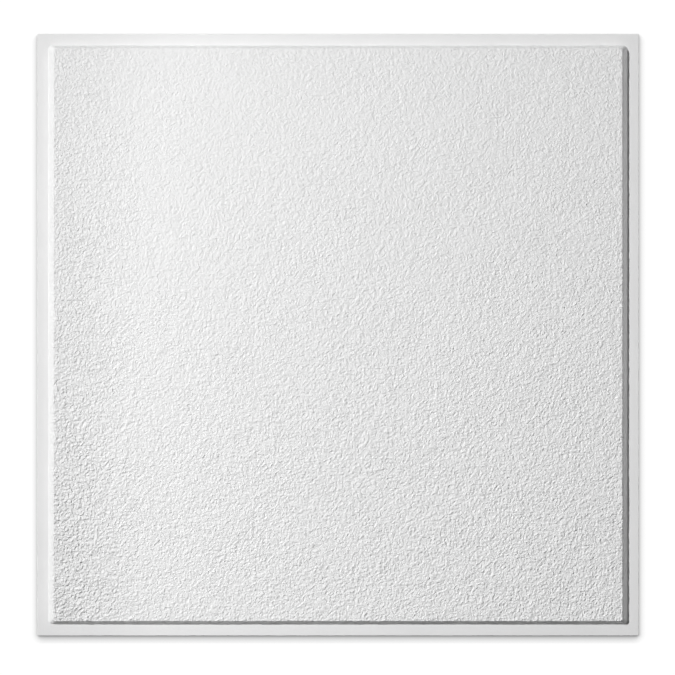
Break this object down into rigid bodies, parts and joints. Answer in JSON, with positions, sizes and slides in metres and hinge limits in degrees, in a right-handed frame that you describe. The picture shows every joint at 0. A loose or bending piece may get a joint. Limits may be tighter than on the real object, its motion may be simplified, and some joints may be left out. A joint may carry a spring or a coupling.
{
  "type": "pvc drop ceiling tile",
  "caption": "Square lay-in ceiling tile formed from expanded PVC sheet: a flat flange rests on the grid, and a stucco-textured face stands out of it on leaning walls.",
  "frame": {"origin": "centre of the square that the back of the flange rests on, as the tile lies face up on a level floor", "axes": "X and Y along the tile's two sides, +Y towards the picture's top, +Z out of the face"},
  "size_m": [0.6032, 0.6032, 0.0109],
  "materials": {
    "white_pvc": "satin white moulded skin, stucco relief on the face"
  },
  "bodies": {
    "root": {"ceiling_tile": "white_pvc"}
  },
  "joints": []
}
